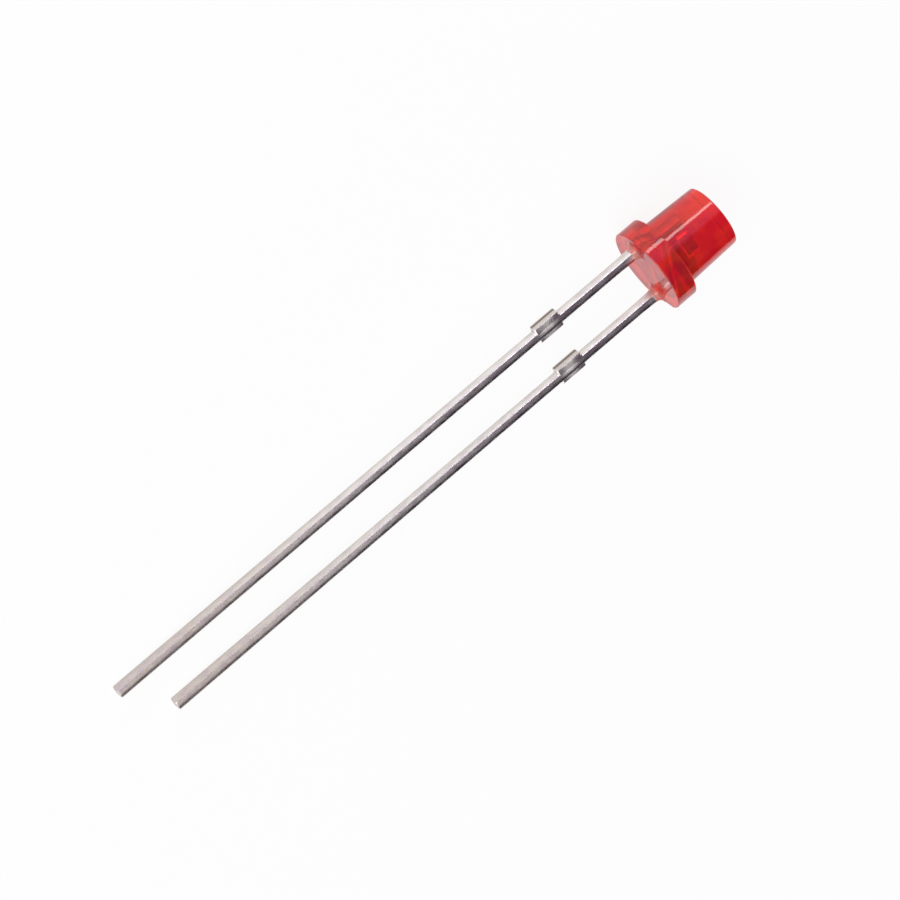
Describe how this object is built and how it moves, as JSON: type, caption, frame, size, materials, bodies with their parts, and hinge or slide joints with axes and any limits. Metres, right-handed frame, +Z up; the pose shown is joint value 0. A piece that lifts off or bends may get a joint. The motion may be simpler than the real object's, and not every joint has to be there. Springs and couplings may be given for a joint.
{
  "type": "through hole led",
  "caption": "Round flat-topped indicator LED: red tinted clear resin lens with a flange, on square tinned leads with stand-off tabs.",
  "frame": {"origin": "on the table, under the middle of the part as it lies at rest", "axes": "+Y along the leads towards the lens's flat top (the lens axis rises 3.6 degrees above +Y, because the flange lifts the lens end), +X across the leads from the anode to the cathode, +Z up from the table"},
  "size_m": [0.0037, 0.0312, 0.0039],
  "materials": {
    "red_resin": "red tinted transparent epoxy, glossy as moulded",
    "tinned_lead": "bright tin plate on stamped steel",
    "die": "sawn semiconductor chip",
    "silver_epoxy": "silver-filled epoxy",
    "gold_wire": "drawn gold wire"
  },
  "bodies": {
    "root": {"lens_body": "red_resin", "anode_lead": "tinned_lead", "cathode_lead": "tinned_lead", "led_die": "die", "die_attach": "silver_epoxy", "bond_wire": "gold_wire"}
  },
  "joints": []
}
